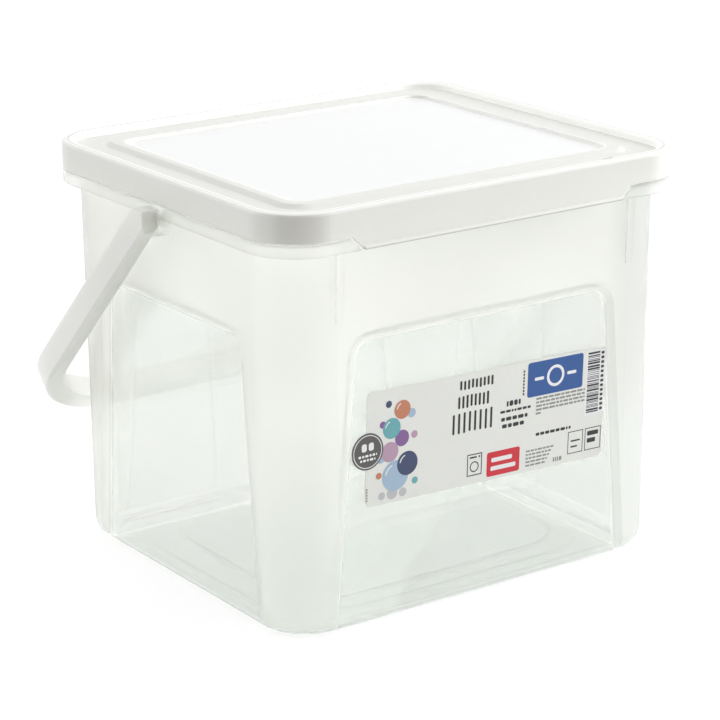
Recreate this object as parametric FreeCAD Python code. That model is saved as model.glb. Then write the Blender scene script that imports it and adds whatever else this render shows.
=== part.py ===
import FreeCAD, Part
import math
import os

# Detergent storage container, 4.5 litres: translucent tub with a clear window in each wall,
# press-on lid with a pull tab, and a bail handle. Millimetres, +Z up, +Y to the back.
# Origin: centre of the tub's footprint, on the plane that it stands on.

os.makedirs("parts", exist_ok=True)

V = FreeCAD.Vector
X_AXIS = V(1, 0, 0)
Y_AXIS = V(0, 1, 0)
Z_AXIS = V(0, 0, 1)

# ---------------------------------------------------------------- driving dimensions
LID_LENGTH = 210.0          # outside of the lid's skirt, left to right
LID_DEPTH = 185.3           # outside of the lid's skirt, front to back
LID_CORNER_R = 23.2         # plan radius of the lid's corners
LID_WALL = 1.6              # thickness of the lid's skirt and top
FIT_GAP = 0.3               # running clearance between pieces that come apart

TUB_WALL = 1.8              # thickness of the tub's walls
TUB_FLOOR = 2.2             # thickness of the middle of the tub's floor
TUB_CORNER_R = 24.0         # plan radius of the tub's outer corners
WALL_SETBACK = 5.0          # tub's wall behind the lid's outline, just under the flange
WALL_DRAFT = 0.32           # degrees that each wall leans in towards the floor
BASE_ROUND = 7.5            # rounding between the walls and the base, outside
OUTER_BANDS = 3             # sloping bands that make up that rounding outside
INNER_BANDS = 2             # and inside
FLOOR_BORDER = 28.0         # width of the thinner border round the middle of the floor
FLOOR_STEP = 0.8            # how much thinner that border is, seen as a step inside

FLANGE_BOTTOM = 162.3       # lower edge of the tub's downturned flange
FLANGE_HEIGHT = 5.5         # height of the flange
FLANGE_WALL = 1.6           # thickness of the flange's web and of its downturned edge
COLLAR_SETBACK = 3.2        # outer face of the collar that the lid closes over
COLLAR_HEIGHT = 7.5         # height of the collar above the flange
COLLAR_BEAD = 0.8           # how far the collar's snap bead stands out
COLLAR_BEAD_HEIGHT = 1.6    # height of that bead
COLLAR_BEAD_DROP = 1.6      # top of the bead below the collar's top

BEAD_WIDTH = 4.8            # width of the raised bead round the lid's rim
BEAD_HEIGHT = 2.8           # bead's crest above the groove
BEAD_ROUND = 1.3            # rounding of the bead's outer edge
BEAD_BANDS = 2              # sloping bands that make up that rounding
BEAD_INNER_BEVEL = 0.9      # bevel of the bead's inner edge
GROOVE_WIDTH = 11.9         # groove between the bead and the frame
FRAME_WIDTH = 7.4           # width of the raised frame round the panel
FRAME_HEIGHT = 1.5          # frame's top above the groove
FRAME_CORNER_R = 11.0       # plan radius of the frame's outer corners
FRAME_SLOPE = 3.0           # how far the frame's outer flank slopes inwards
PANEL_CORNER_R = 8.0        # plan radius of the panel's corners
PANEL_DEPTH = 1.3           # panel below the frame's top
GATE_LENGTH = 5.5           # small moulding pit in the groove, right of the front edge
GATE_WIDTH = 2.6
GATE_DEPTH = 0.5
GATE_SETBACK = 36.0         # the pit's centre inside the end of the lid
PLUG_WALL = 1.2             # inner ring that guides the lid inside the collar
PLUG_HEIGHT = 4.6           # height of that ring
SNAP_BEAD = 0.5             # snap bead on the inside of the lid's skirt
SNAP_BEAD_HEIGHT = 1.4

TAB_SETBACK = 34.0          # ends of the pull tab inside the ends of the lid
TAB_DROP = 5.5              # tab below the skirt
TAB_SLANT = 5.4             # run of the tab's slanted ends
TAB_LIP = 1.1               # lip along the tab's lower edge, how far it stands out
TAB_LIP_HEIGHT = 1.5
TAB_CLEAR = 1.4             # gap between the tab's ends and the flange

RIB_WIDTH = 3.6             # upright ribs at the ends of the flange's cut
RIB_PROUD = 1.9             # how far a rib stands out at its top
RIB_FOOT_PROUD = 0.9        # and at its foot
RIB_LENGTH = 29.0           # length of a rib below the flange

WINDOW_TOP = 122.2          # top edge of the windows
WINDOW_RECESS = 2.8         # depth of the windows behind the wall
WINDOW_BEVEL = 2.6          # width of the bevel round a window
WINDOW_TOP_R = 7.0          # radius of a window's upper corners
POST_TOP_WIDTH = 40.9       # from the lid's outline to a window's side, at the window's top
POST_FOOT_WIDTH = 30.9      # and at the floor

PIVOT_Z = 161.0             # height of the handle's axis, at mid-depth of the side walls
PIN_R = 2.4                 # handle's pin
PIN_PLAY = 0.06             # radial play of the pin in its bore
EAR_WIDTH = 8.4             # ear that holds the bore
EAR_FOOT = 6.7              # ear's foot below the handle's axis
BORE_WEB = 1.4              # material left behind the bore

ARM_GAP = 1.5               # handle's arms outside the lid
ARM_THICK = 8.0             # handle's section across the arm
ARM_WIDTH = 12.0            # handle's section along the swing
ARM_TIP = 8.6               # point of the arm's end beyond the axis
TIP_RIM = 1.2               # rim round the pocket in the front of the arm's end
TIP_POCKET = 1.3            # depth of that pocket
BAIL_REACH = 157.5          # axis to the outside of the grip
BAIL_OUTER_R = 46.0         # bends of the bail, outside and inside
BAIL_INNER_R = 41.0
BAIL_BEVEL = 1.4            # bevel of the bail's front edges
BAIL_WALL = 2.2             # wall left where the bail is cored out from behind
BAIL_FLOOR = 2.6            # thickness behind the core
BAIL_WEB = 2.0              # cross webs in the core
BAIL_WEB_PITCH = 26.0
BAIL_ANGLE = 45.0           # lean of the handle from straight down, towards the back
BOSS_R = 4.2                # shoulder round the pin

LABEL_HEIGHT = 49.0         # printed label in the front window
LABEL_LEFT = 8.2            # left end of the label inside the window's side, at its middle
LABEL_RIGHT = 3.0           # and its right end
LABEL_Z = 74.1              # height of the label's middle
LABEL_TURN = -1.6           # degrees that the label sits askew
LABEL_CORNER_R = 2.5
LABEL_THICK = 0.2
STICK_GAP = 0.03            # adhesive under a label
STICKER_R = 7.8             # round sticker over the label's left edge
STICKER_EDGE = 0.3          # between the sticker and the window's side
STICKER_RISE = 1.3          # its centre above the label's middle

# ---------------------------------------------------------------- sizes that follow
FLANGE_TOP = FLANGE_BOTTOM + FLANGE_HEIGHT
SKIRT_BOTTOM = FLANGE_TOP + FIT_GAP
COLLAR_TOP = FLANGE_TOP + COLLAR_HEIGHT
GROOVE_Z = COLLAR_TOP + FIT_GAP + LID_WALL
BEAD_Z = GROOVE_Z + BEAD_HEIGHT
FRAME_Z = GROOVE_Z + FRAME_HEIGHT
PANEL_Z = FRAME_Z - PANEL_DEPTH
FRAME_INSET = BEAD_WIDTH + GROOVE_WIDTH
PANEL_INSET = FRAME_INSET + FRAME_WIDTH
HALF_X = LID_LENGTH / 2
HALF_Y = LID_DEPTH / 2
WALL_SLOPE = math.tan(math.radians(WALL_DRAFT))
FOOT_SETBACK = WALL_SETBACK + FLANGE_BOTTOM * WALL_SLOPE
FRONT_WINDOW = (2 * (HALF_X - POST_TOP_WIDTH), 2 * (HALF_X - POST_FOOT_WIDTH))
SIDE_WINDOW = (2 * (HALF_Y - POST_TOP_WIDTH), 2 * (HALF_Y - POST_FOOT_WIDTH))
TAB_WIDTH = 2 * (HALF_X - TAB_SETBACK)
GATE_X = HALF_X - GATE_SETBACK
ARM_INNER = HALF_X + ARM_GAP
ARM_OUTER = ARM_INNER + ARM_THICK
EAR_FACE = HALF_X
BORE_R = PIN_R + PIN_PLAY
TAB_BOTTOM = SKIRT_BOTTOM - TAB_DROP


def setback(z):
    """Outer face of the tub's wall behind the lid's outline at height z."""
    return FOOT_SETBACK - z * WALL_SLOPE


# ---------------------------------------------------------------- shared helpers
def rounded_wire(half_x, half_y, radius, z):
    """Rounded rectangle about the Z axis at height z."""
    r = max(min(radius, half_x - 0.1, half_y - 0.1), 0.2)
    edges = []
    corners = [(1, 1, 0), (-1, 1, 90), (-1, -1, 180), (1, -1, 270)]
    ends = []
    for sx, sy, start in corners:
        centre = V(sx * (half_x - r), sy * (half_y - r), z)
        arc = Part.Arc(Part.Circle(centre, Z_AXIS, r), math.radians(start), math.radians(start + 90))
        ends.append(arc.toShape())
    for i in range(4):
        arc = ends[i]
        following = ends[(i + 1) % 4]
        edges.append(arc)
        edges.append(Part.LineSegment(arc.Vertexes[-1].Point, following.Vertexes[0].Point).toShape())
    return Part.Wire(edges)


def slab(inset, z0, z1, radius=None, top_inset=None):
    """Rounded block inside the lid's outline by `inset`; `top_inset` slopes its flanks."""
    r = LID_CORNER_R - inset if radius is None else radius
    low = rounded_wire(HALF_X - inset, HALF_Y - inset, r, z0)
    if top_inset is None:
        return Part.Face(low).extrude(V(0, 0, z1 - z0))
    high = rounded_wire(HALF_X - top_inset, HALF_Y - top_inset, r + inset - top_inset, z1)
    return Part.makeLoft([low, high], True, True)


def ring(outer, inner, z0, z1, outer_r=None, inner_r=None):
    """Rounded ring between two insets from the lid's outline."""
    return slab(outer, z0, z1, outer_r).cut(slab(inner, z0 - 1, z1 + 1, inner_r))


def block(x0, x1, y0, y1, z0, z1):
    return Part.makeBox(x1 - x0, y1 - y0, z1 - z0, V(x0, y0, z0))


def level_edges(shape, z, inside=None):
    """Edges that lie flat at height z, all within or all beyond the given inset."""
    found = []
    for edge in shape.Edges:
        box = edge.BoundBox
        if abs(box.ZMin - z) > 1e-4 or abs(box.ZMax - z) > 1e-4:
            continue
        if inside is not None:
            low, high = inside
            mid = edge.valueAt((edge.FirstParameter + edge.LastParameter) / 2)
            depth = min(HALF_X - abs(mid.x), HALF_Y - abs(mid.y))
            if not low <= depth <= high:
                continue
        found.append(edge)
    return found


def quarter_round(radius, bands):
    """Drop from the flat face and inset from the wall, at the ends of each sloping band."""
    points = []
    for step in range(bands + 1):
        angle = math.radians(90 * step / bands)
        points.append((radius * (1 - math.cos(angle)), radius * (1 - math.sin(angle))))
    return points


def mirror_x(shape):
    return shape.mirror(V(0, 0, 0), X_AXIS)


# ---------------------------------------------------------------- windows
def window_wire(top_width, foot_width, top_z, grow, depth):
    """Window outline in the XZ plane at y = depth, widened by `grow`; it runs out below."""
    lean = (foot_width - top_width) / 2 / top_z
    half_top = top_width / 2 + grow
    foot_z = -6.0
    top = top_z + grow
    half_foot = half_top + (top - foot_z) * lean
    r = WINDOW_TOP_R + grow
    turn = math.pi / 2 - math.atan(lean)
    reach = r * math.tan(turn / 2)
    run = V(lean, 0, -1).normalize()
    side = V(half_top + run.x * reach, depth, top + run.z * reach)
    crown = V(half_top - reach, depth, top)
    centre = V(crown.x, depth, top - r)
    mid = centre + V(math.sin(turn / 2) * r, 0, math.cos(turn / 2) * r)
    flip = lambda p: V(-p.x, p.y, p.z)
    foot = V(half_foot, depth, foot_z)
    return Part.Wire([
        Part.LineSegment(flip(crown), crown).toShape(),
        Part.Arc(crown, mid, side).toShape(),
        Part.LineSegment(side, foot).toShape(),
        Part.LineSegment(foot, flip(foot)).toShape(),
        Part.LineSegment(flip(foot), flip(side)).toShape(),
        Part.Arc(flip(side), flip(mid), flip(crown)).toShape(),
    ])


def window_cutter(top_width, foot_width, depth, grow):
    """Solid outside a window plane `depth` behind the front wall, with a bevel all round."""
    flat = window_wire(top_width, foot_width, WINDOW_TOP, grow, depth)
    outer = window_wire(top_width, foot_width, WINDOW_TOP, grow + WINDOW_BEVEL * 2, depth - WINDOW_RECESS * 2)
    return Part.makeLoft([flat, outer], True, True)


def place_front(shape, half_depth):
    """Lean a shape drawn against y = 0 and set it on the front wall, at the floor."""
    leaning = shape.copy()
    leaning.rotate(V(0, 0, 0), X_AXIS, WALL_DRAFT)
    leaning.translate(V(0, -(half_depth - FOOT_SETBACK), 0))
    return leaning


def window_set(extra):
    """All four windows, each `extra` deeper and wider, for the outside or the inside."""
    depth = WINDOW_RECESS + extra
    front = place_front(window_cutter(*FRONT_WINDOW, depth, extra), HALF_Y)
    side = place_front(window_cutter(*SIDE_WINDOW, depth, extra), HALF_X)
    cutters = []
    for base, angles in ((front, (0, 180)), (side, (-90, 90))):
        for angle in angles:
            turned = base.copy()
            turned.rotate(V(0, 0, 0), Z_AXIS, angle)
            cutters.append(turned)
    return cutters


# ---------------------------------------------------------------- tub
def windowed_block(inwards, foot_z, top, band_count):
    """Drafted block `inwards` of the tub's faces, with sunken windows and a rounded foot."""
    levels = []
    for rise, inset in quarter_round(BASE_ROUND - inwards, band_count):
        levels.append((foot_z + rise, inwards + inset))
    levels.append((top, inwards))
    windows = window_set(inwards)
    bands = []
    for (z0, in0), (z1, in1) in zip(levels, levels[1:]):
        band = slab(setback(z0) + in0, z0, z1, TUB_CORNER_R - in0, setback(z1) + in1)
        for window in windows:
            band = band.cut(window)
        bands.append(band)
    return bands[0].multiFuse(bands[1:])


def tub_shell():
    """Walls and floor: drafted box with four sunken windows of even thickness."""
    top = FLANGE_TOP - FLANGE_WALL / 2
    outer = windowed_block(0, 0, top, OUTER_BANDS)
    inner = windowed_block(TUB_WALL, TUB_FLOOR - FLOOR_STEP, top + 1, INNER_BANDS)
    return outer.cut(inner)


def floor_middle():
    """Thicker middle of the floor, with its flank sloping down to the border."""
    border = setback(0) + FLOOR_BORDER
    root_z = (TUB_FLOOR - FLOOR_STEP) / 2
    return slab(border, root_z, TUB_FLOOR, TUB_CORNER_R, border + TUB_FLOOR - root_z)


def rim():
    """Flange with its downturned edge, and the collar that the lid closes over."""
    wall = setback(FLANGE_TOP) + TUB_WALL
    web = ring(0, wall, FLANGE_TOP - FLANGE_WALL, FLANGE_TOP, inner_r=TUB_CORNER_R - TUB_WALL)
    edge = ring(0, FLANGE_WALL, FLANGE_BOTTOM, FLANGE_TOP)
    collar = ring(COLLAR_SETBACK, COLLAR_SETBACK + TUB_WALL, FLANGE_TOP - FLANGE_WALL, COLLAR_TOP)
    collar = collar.makeChamfer(TUB_WALL * 0.3, level_edges(collar, COLLAR_TOP))
    bead_top = COLLAR_TOP - COLLAR_BEAD_DROP
    bead_mid = bead_top - COLLAR_BEAD_HEIGHT / 2
    face = COLLAR_SETBACK
    lower = slab(face, bead_top - COLLAR_BEAD_HEIGHT, bead_mid, top_inset=face - COLLAR_BEAD)
    upper = slab(face - COLLAR_BEAD, bead_mid, bead_top, top_inset=face)
    bead = lower.fuse(upper).cut(slab(face + TUB_WALL / 2, COLLAR_TOP - 9, COLLAR_TOP + 1))
    return web.multiFuse([edge, collar, bead])


def tab_gap():
    """Cut in the flange's front edge that the lid's pull tab hangs in."""
    half = TAB_WIDTH / 2 + TAB_CLEAR
    inner_y = -(HALF_Y - LID_WALL - FIT_GAP - 0.15)
    low_z = FLANGE_BOTTOM - 1
    slope = TAB_SLANT / TAB_DROP
    low_half = half - (SKIRT_BOTTOM - low_z) * slope
    points = [
        V(-half, -HALF_Y - 1, SKIRT_BOTTOM),
        V(half, -HALF_Y - 1, SKIRT_BOTTOM),
        V(low_half, -HALF_Y - 1, low_z),
        V(-low_half, -HALF_Y - 1, low_z),
    ]
    face = Part.Face(Part.makePolygon(points + [points[0]]))
    return face.extrude(V(0, inner_y + HALF_Y + 1, 0))


def rib(side):
    """Upright rib under one end of the flange's cut, tapering towards its foot."""
    centre = side * (TAB_WIDTH / 2 + TAB_CLEAR + RIB_WIDTH / 2 + 0.3)
    top_z = FLANGE_BOTTOM + FLANGE_HEIGHT / 2
    foot_z = FLANGE_BOTTOM - RIB_LENGTH
    y_top = -(HALF_Y - setback(top_z))
    y_foot = -(HALF_Y - setback(foot_z))
    root = TUB_WALL / 2
    points = [
        V(centre - RIB_WIDTH / 2, y_top + root, top_z),
        V(centre - RIB_WIDTH / 2, y_top - RIB_PROUD, top_z),
        V(centre - RIB_WIDTH / 2, y_foot - RIB_FOOT_PROUD, foot_z),
        V(centre - RIB_WIDTH / 2, y_foot + root, foot_z),
    ]
    face = Part.Face(Part.makePolygon(points + [points[0]]))
    return face.extrude(V(RIB_WIDTH, 0, 0))


def ear():
    """Bearing ear on the right side wall, under the flange, with a rounded foot."""
    r = EAR_WIDTH / 2
    wall_x = HALF_X - setback(PIVOT_Z) - TUB_WALL / 2
    reach = EAR_FACE - wall_x
    foot_z = PIVOT_Z - EAR_FOOT
    body = block(wall_x, EAR_FACE, -r, r, foot_z + r, FLANGE_TOP - FLANGE_WALL / 2)
    foot = Part.makeCylinder(r, reach, V(wall_x, 0, foot_z + r), X_AXIS)
    return body.fuse(foot)


def bore():
    """Blind bore in the right ear, for the handle's pin."""
    start = HALF_X - setback(PIVOT_Z) - TUB_WALL + BORE_WEB
    return Part.makeCylinder(BORE_R, EAR_FACE + 1 - start, V(start, 0, PIVOT_Z), X_AXIS)


def make_tub():
    shell = tub_shell()
    flange = rim().cut(tab_gap())
    tub = shell.multiFuse([floor_middle(), flange, rib(-1), rib(1), ear(), mirror_x(ear())])
    tub = tub.cut(bore()).cut(mirror_x(bore()))
    return tub.removeSplitter()


# ---------------------------------------------------------------- lid
def lid_top_form():
    """Outside of the lid: skirt, rounded bead, groove, raised frame and sunken panel."""
    form = slab(0, SKIRT_BOTTOM, BEAD_Z - BEAD_ROUND)
    crest = quarter_round(BEAD_ROUND, BEAD_BANDS)
    for (high, high_in), (low, low_in) in zip(crest, crest[1:]):
        form = form.fuse(slab(low_in, BEAD_Z - low, BEAD_Z - high, top_inset=high_in))
    form = form.cut(slab(BEAD_WIDTH, GROOVE_Z, BEAD_Z + 1))
    form = form.makeChamfer(BEAD_INNER_BEVEL, level_edges(form, BEAD_Z, (BEAD_WIDTH - 0.1, BEAD_WIDTH + 0.1)))
    frame = slab(FRAME_INSET, GROOVE_Z - 0.2, FRAME_Z, FRAME_CORNER_R, FRAME_INSET + FRAME_SLOPE)
    form = form.fuse(frame)
    panel = slab(PANEL_INSET, PANEL_Z, FRAME_Z + 1, PANEL_CORNER_R)
    return form.cut(panel)


def lid_underside():
    """Hollow under the lid, following its top at the lid's wall thickness."""
    under_groove = GROOVE_Z - LID_WALL
    hollow = slab(LID_WALL, SKIRT_BOTTOM - 1, under_groove)
    panel = slab(FRAME_INSET + 2 * LID_WALL, SKIRT_BOTTOM - 1, PANEL_Z - LID_WALL)
    bead = ring(LID_WALL, BEAD_WIDTH - LID_WALL, under_groove - 0.1, BEAD_Z - LID_WALL)
    frame_inner_r = PANEL_CORNER_R + LID_WALL
    frame = ring(FRAME_INSET + LID_WALL, PANEL_INSET - LID_WALL, under_groove - 0.1, FRAME_Z - LID_WALL,
                 FRAME_CORNER_R, frame_inner_r)
    return hollow.multiFuse([panel, bead, frame])


def pull_tab():
    """Deeper part of the front skirt, with slanted ends and a lip along its lower edge."""
    half = TAB_WIDTH / 2
    low = half - TAB_SLANT
    front = -HALF_Y
    up = 2.0
    points = [
        V(-half, front, SKIRT_BOTTOM),
        V(-low, front, TAB_BOTTOM),
        V(low, front, TAB_BOTTOM),
        V(half, front, SKIRT_BOTTOM),
        V(half, front, SKIRT_BOTTOM + up),
        V(-half, front, SKIRT_BOTTOM + up),
    ]
    plate = Part.Face(Part.makePolygon(points + [points[0]])).extrude(V(0, LID_WALL, 0))
    lip_top = TAB_BOTTOM + TAB_LIP_HEIGHT
    section = [
        V(-low, front + 0.2, TAB_BOTTOM),
        V(-low, front - TAB_LIP, TAB_BOTTOM),
        V(-low, front - TAB_LIP, TAB_BOTTOM + TAB_LIP_HEIGHT * 0.4),
        V(-low, front, lip_top),
        V(-low, front + 0.2, lip_top),
    ]
    lip = Part.Face(Part.makePolygon(section + [section[0]])).extrude(V(2 * low, 0, 0))
    return plate.fuse(lip)


def make_lid():
    lid = lid_top_form().cut(lid_underside())
    plug_outer = COLLAR_SETBACK + TUB_WALL + FIT_GAP
    under = GROOVE_Z - LID_WALL
    plug = ring(plug_outer, plug_outer + PLUG_WALL, under - PLUG_HEIGHT, under + LID_WALL / 2)
    snap_z = COLLAR_TOP - COLLAR_BEAD_DROP - COLLAR_BEAD_HEIGHT - FIT_GAP
    snap_mid = snap_z - SNAP_BEAD_HEIGHT / 2
    skirt_in = LID_WALL
    lower = slab(skirt_in, snap_z - SNAP_BEAD_HEIGHT, snap_mid, top_inset=skirt_in + SNAP_BEAD)
    upper = slab(skirt_in + SNAP_BEAD, snap_mid, snap_z, top_inset=skirt_in)
    snap = ring(skirt_in / 2, skirt_in + 2, snap_z - SNAP_BEAD_HEIGHT, snap_z).cut(lower.fuse(upper))
    lid = lid.multiFuse([plug, snap, pull_tab()])
    gate_y = -(HALF_Y - FRAME_INSET + GATE_WIDTH)
    gate = block(GATE_X - GATE_LENGTH / 2, GATE_X + GATE_LENGTH / 2,
                 gate_y - GATE_WIDTH, gate_y, GROOVE_Z - GATE_DEPTH, GROOVE_Z + 1)
    return lid.cut(gate).removeSplitter()


# ---------------------------------------------------------------- handle
def bail_outline(outer, reach, radius):
    """U outline in the XZ plane, hanging from the axis at z = 0."""
    top = ARM_TIP
    low = -reach
    k = radius * (1 - math.sqrt(0.5))
    pts = [V(-outer, 0, top), V(-outer, 0, low + radius), V(-outer + k, 0, low + k),
           V(-outer + radius, 0, low)]
    right = [V(-p.x, 0, p.z) for p in pts]
    return Part.Wire([
        Part.LineSegment(pts[0], pts[1]).toShape(),
        Part.Arc(pts[1], pts[2], pts[3]).toShape(),
        Part.LineSegment(pts[3], right[3]).toShape(),
        Part.Arc(right[3], right[2], right[1]).toShape(),
        Part.LineSegment(right[1], right[0]).toShape(),
        Part.LineSegment(right[0], pts[0]).toShape(),
    ])


def bail_band(grow_in, y0, y1):
    """U-shaped band whose faces lie `grow_in` inside the bail's own faces."""
    outer = Part.Face(bail_outline(ARM_OUTER - grow_in, BAIL_REACH - grow_in, BAIL_OUTER_R - grow_in))
    inner_reach = BAIL_REACH - ARM_THICK + grow_in
    inner = Part.Face(bail_outline(ARM_INNER + grow_in, inner_reach, BAIL_INNER_R + grow_in))
    band = outer.extrude(V(0, y1 - y0, 0)).cut(inner.extrude(V(0, y1 - y0, 0)))
    band.translate(V(0, y0, 0))
    return band


def arm_profile(length, y_half, tip, x0, x1):
    """Side view of an arm that ends in a square point above the axis, extruded across X."""
    points = [
        V(x0, -y_half, -length),
        V(x0, -y_half, tip - y_half),
        V(x0, 0, tip),
        V(x0, y_half, tip - y_half),
        V(x0, y_half, -length),
    ]
    return Part.Face(Part.makePolygon(points + [points[0]])).extrude(V(x1 - x0, 0, 0))


def tip_pocket():
    """Shallow pocket in the upright front face of the right arm's end."""
    reach = ARM_WIDTH
    pocket = block(ARM_INNER + TIP_RIM, ARM_OUTER - TIP_RIM, -1, TIP_POCKET, -reach, -TIP_RIM)
    pocket.rotate(V(0, 0, 0), X_AXIS, -BAIL_ANGLE)
    pocket.translate(V(0, 0, ARM_TIP))
    return pocket


def bail_core():
    """Channel that cores the bail out from behind, broken by cross webs."""
    half = ARM_WIDTH / 2
    core = bail_band(BAIL_WALL, -half + BAIL_FLOOR, half + 1)
    keep = block(-ARM_OUTER - 1, ARM_OUTER + 1, -half - 1, half + 2, -BAIL_REACH - 1, -BOSS_R - 2)
    core = core.common(keep)
    webs = []
    count = int((BAIL_REACH - BAIL_OUTER_R) / BAIL_WEB_PITCH)
    for i in range(1, count + 1):
        z = -i * BAIL_WEB_PITCH
        webs.append(block(-ARM_OUTER - 1, ARM_OUTER + 1, -half, half + 2, z - BAIL_WEB / 2, z + BAIL_WEB / 2))
    across = int((ARM_INNER - BAIL_INNER_R) / BAIL_WEB_PITCH)
    for i in range(-across, across + 1):
        x = i * BAIL_WEB_PITCH
        webs.append(block(x - BAIL_WEB / 2, x + BAIL_WEB / 2, -half, half + 2, -BAIL_REACH - 1,
                          -BAIL_REACH + ARM_THICK + 1))
    for web in webs:
        core = core.cut(web)
    return core


def pin():
    """Pin on the right arm, with the shoulder that keeps the arm off the ear."""
    shoulder_x = EAR_FACE + FIT_GAP
    tip = HALF_X - setback(PIVOT_Z) - TUB_WALL + BORE_WEB + FIT_GAP
    shoulder = Part.makeCylinder(BOSS_R, ARM_INNER + 1 - shoulder_x, V(shoulder_x, 0, 0), X_AXIS)
    shaft = Part.makeCylinder(PIN_R, ARM_INNER + 1 - tip, V(tip, 0, 0), X_AXIS)
    shaft = shaft.makeChamfer(0.5, [e for e in shaft.Edges if abs(e.BoundBox.XMax - tip) < 1e-4])
    return shoulder.fuse(shaft)


def make_handle():
    half = ARM_WIDTH / 2
    band = bail_band(0, -half, half)
    front = [e for e in band.Edges if abs(e.BoundBox.YMax + half) < 1e-4 and e.BoundBox.ZMin < ARM_TIP - 1]
    band = band.makeChamfer(BAIL_BEVEL, front)
    envelope = arm_profile(BAIL_REACH + 1, half, ARM_TIP, -ARM_OUTER - 1, ARM_OUTER + 1)
    handle = band.common(envelope).cut(bail_core())
    handle = handle.cut(tip_pocket()).cut(mirror_x(tip_pocket()))
    handle = handle.multiFuse([pin(), mirror_x(pin())])
    handle.rotate(V(0, 0, 0), X_AXIS, BAIL_ANGLE)
    handle.translate(V(0, 0, PIVOT_Z))
    return handle


# ---------------------------------------------------------------- label and sticker
def on_front_window(shape, lift):
    """Stand a flat shape, drawn in XZ at y = 0, `lift` in front of the front window."""
    moved = shape.copy()
    moved.translate(V(0, WINDOW_RECESS - lift, 0))
    return place_front(moved, HALF_Y)


def window_half(z):
    """Half the front window's width at height z."""
    top, foot = FRONT_WINDOW
    return (foot + (top - foot) * z / WINDOW_TOP) / 2


def make_label():
    left = LABEL_LEFT - window_half(LABEL_Z)
    right = window_half(LABEL_Z) - LABEL_RIGHT
    outline = rounded_wire((right - left) / 2, LABEL_HEIGHT / 2, LABEL_CORNER_R, 0)
    flat = Part.Face(outline).extrude(V(0, 0, LABEL_THICK))
    flat.rotate(V(0, 0, 0), X_AXIS, 90)
    flat.rotate(V(0, 0, 0), Y_AXIS, -LABEL_TURN)
    flat.translate(V((left + right) / 2, 0, LABEL_Z))
    return on_front_window(flat, STICK_GAP)


def make_sticker():
    disc = Part.makeCylinder(STICKER_R, LABEL_THICK, V(0, 0, 0), V(0, -1, 0))
    height = LABEL_Z + STICKER_RISE
    disc.translate(V(STICKER_R + STICKER_EDGE - window_half(height + STICKER_R), 0, height))
    return on_front_window(disc, STICK_GAP * 2 + LABEL_THICK)


# ---------------------------------------------------------------- write the nodes
NODES = {
    "tub": make_tub,
    "lid": make_lid,
    "handle": make_handle,
    "front_label": make_label,
    "round_sticker": make_sticker,
}

for name, make in NODES.items():
    solid = make()
    solid.exportStep("parts/" + name + ".step")
    box = solid.BoundBox
    print(name, "solids", len(solid.Solids), "valid", solid.isValid(), "volume", round(solid.Volume, 1),
          "x", round(box.XMin, 2), round(box.XMax, 2), "y", round(box.YMin, 2), round(box.YMax, 2),
          "z", round(box.ZMin, 2), round(box.ZMax, 2))
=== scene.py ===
# %% [markdown]
# # A detergent storage container, dressed for its picture
#
# A storage container like this is three mouldings of polypropylene: a see-through tub, a white
# lid and a white carrying handle. A printed film and a small round sticker are stuck on its
# front. Their solids are already drawn, so this lesson gives them their finishes, prints the
# labels, and sets up a small studio round them.

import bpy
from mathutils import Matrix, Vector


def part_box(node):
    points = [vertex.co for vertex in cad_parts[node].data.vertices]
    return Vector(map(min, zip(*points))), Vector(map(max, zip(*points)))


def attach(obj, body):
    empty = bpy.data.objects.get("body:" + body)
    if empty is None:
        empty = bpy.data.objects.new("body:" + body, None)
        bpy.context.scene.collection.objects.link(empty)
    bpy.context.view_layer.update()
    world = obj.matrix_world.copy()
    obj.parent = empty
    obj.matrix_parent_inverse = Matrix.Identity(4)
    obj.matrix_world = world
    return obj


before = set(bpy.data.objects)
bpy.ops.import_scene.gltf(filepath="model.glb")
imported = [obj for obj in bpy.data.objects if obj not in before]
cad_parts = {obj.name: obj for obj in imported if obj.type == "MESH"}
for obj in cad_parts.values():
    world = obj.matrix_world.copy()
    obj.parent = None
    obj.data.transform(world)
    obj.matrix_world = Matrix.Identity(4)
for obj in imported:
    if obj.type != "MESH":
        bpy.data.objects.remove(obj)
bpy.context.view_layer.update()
print("solids:", sorted(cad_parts))

# %% [markdown]
# ## Sizes
#
# A finish that changes from place to place, such as clear windows in a frosted wall, has to know
# where those places are. Blender keeps every length in metres, so each size is written in
# millimetres, as on the drawing, times `MM`. What can easily be measured on the solids, such as
# the lid's length, is measured.

# %% Load the helpers and set the unit
import math
import random
from collections import Counter

import bmesh
import bpy
from mathutils import Matrix, Vector

MM = 0.001

# %% [markdown]
# ## The camera
#
# The container is seen from its front left corner, from a little above and from far away with a
# long lens, as for a catalogue. A long lens keeps the upright edges nearly parallel. The camera is
# placed and turned with three plain rotations: about the upright axis, down, and a trace
# of roll.

# %% Place the camera
CAMERA_PLACE = Vector((-0.6335, -0.8910, 0.4281))
CAMERA_TURN = math.radians(-35.30)
CAMERA_DOWN = math.radians(17.593)
CAMERA_ROLL = math.radians(-0.39)
CAMERA_LENS = 130.56      # Blender keeps a lens and its sensor in millimetres
CAMERA_SENSOR = 36.0

camera_data = bpy.data.cameras.new("studio_camera")
camera_data.lens = CAMERA_LENS
camera_data.sensor_width = CAMERA_SENSOR
camera = bpy.data.objects.new("studio_camera", camera_data)
bpy.context.scene.collection.objects.link(camera)
camera.matrix_world = (
    Matrix.Translation(CAMERA_PLACE)
    @ Matrix.Rotation(CAMERA_TURN, 4, "Z")
    @ Matrix.Rotation(math.pi / 2 - CAMERA_DOWN, 4, "X")
    @ Matrix.Rotation(CAMERA_ROLL, 4, "Z")
)
bpy.context.scene.camera = camera
print("camera is", round(CAMERA_PLACE.length, 3), "m from the container")

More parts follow.
